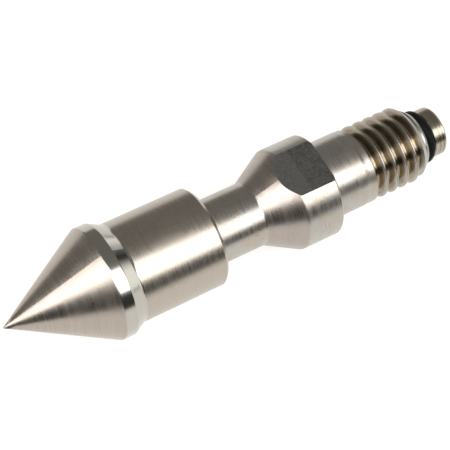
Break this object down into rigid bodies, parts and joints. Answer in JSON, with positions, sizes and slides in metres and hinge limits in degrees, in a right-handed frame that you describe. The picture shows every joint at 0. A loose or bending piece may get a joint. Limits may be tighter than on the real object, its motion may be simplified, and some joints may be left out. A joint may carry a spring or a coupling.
{
  "type": "live center",
  "caption": "Screw-in live center: a 60 degree point head that turns on bearings on a fixed spindle with a flared collar, wrench flats, a pilot and a threaded shank.",
  "frame": {"origin": "centre of the collar's rear seat face, on the turning axis", "axes": "+X along the turning axis towards the point, +Z normal to the upper wrench flat"},
  "size_m": [0.0782, 0.0184, 0.0184],
  "materials": {
    "turned_steel": "fine turned stainless steel",
    "plug_steel": "polished stainless steel",
    "bearing_steel": "ground and polished bearing steel",
    "cage_steel": "pressed steel",
    "spring_steel": "dark phosphated spring steel",
    "spacer_steel": "turned steel",
    "zinc_steel": "pressed bright steel",
    "seal_rubber": "black nitrile rubber"
  },
  "bodies": {
    "spindle": {"spindle": "turned_steel", "shaft_snap_ring": "spring_steel", "front_bearing_inner_ring": "bearing_steel", "rear_bearing_inner_ring": "bearing_steel", "inner_spacer": "spacer_steel", "o_ring": "seal_rubber", "end_plug": "plug_steel"},
    "head": {"point_head": "turned_steel", "thrust_seat": "bearing_steel", "needle_bearing_cup": "bearing_steel", "front_bearing_outer_ring": "bearing_steel", "rear_bearing_outer_ring": "bearing_steel", "outer_spacer": "spacer_steel", "preload_wave_washer": "spring_steel", "bore_circlip": "spring_steel", "seal_case": "zinc_steel", "seal_lip": "seal_rubber"},
    "needle_set": {"needle_rollers": "bearing_steel", "needle_cage": "cage_steel"},
    "front_ball_set": {"front_bearing_balls": "bearing_steel", "front_bearing_cage": "cage_steel"},
    "rear_ball_set": {"rear_bearing_balls": "bearing_steel", "rear_bearing_cage": "cage_steel"},
    "thrust_ball": {"thrust_ball": "bearing_steel"}
  },
  "joints": [
    {"name": "head_spin", "type": "hinge", "parent": "spindle", "child": "head", "pos_m": [0.02065, 0, 0], "axis": [1, 0, 0], "continuous": true},
    {"name": "needle_spin", "type": "hinge", "parent": "spindle", "child": "needle_set", "pos_m": [0.02065, 0, 0], "axis": [1, 0, 0], "continuous": true},
    {"name": "front_balls_spin", "type": "hinge", "parent": "spindle", "child": "front_ball_set", "pos_m": [0.02065, 0, 0], "axis": [1, 0, 0], "continuous": true},
    {"name": "rear_balls_spin", "type": "hinge", "parent": "spindle", "child": "rear_ball_set", "pos_m": [0.02065, 0, 0], "axis": [1, 0, 0], "continuous": true},
    {"name": "thrust_ball_spin", "type": "hinge", "parent": "spindle", "child": "thrust_ball", "pos_m": [0.02065, 0, 0], "axis": [1, 0, 0], "continuous": true}
  ],
  "couplings": [
    {"joint": "needle_spin", "follows": "head_spin", "ratio": 0.63273},
    {"joint": "front_balls_spin", "follows": "head_spin", "ratio": 0.60526},
    {"joint": "rear_balls_spin", "follows": "head_spin", "ratio": 0.60526},
    {"joint": "thrust_ball_spin", "follows": "head_spin", "ratio": 0.5}
  ]
}
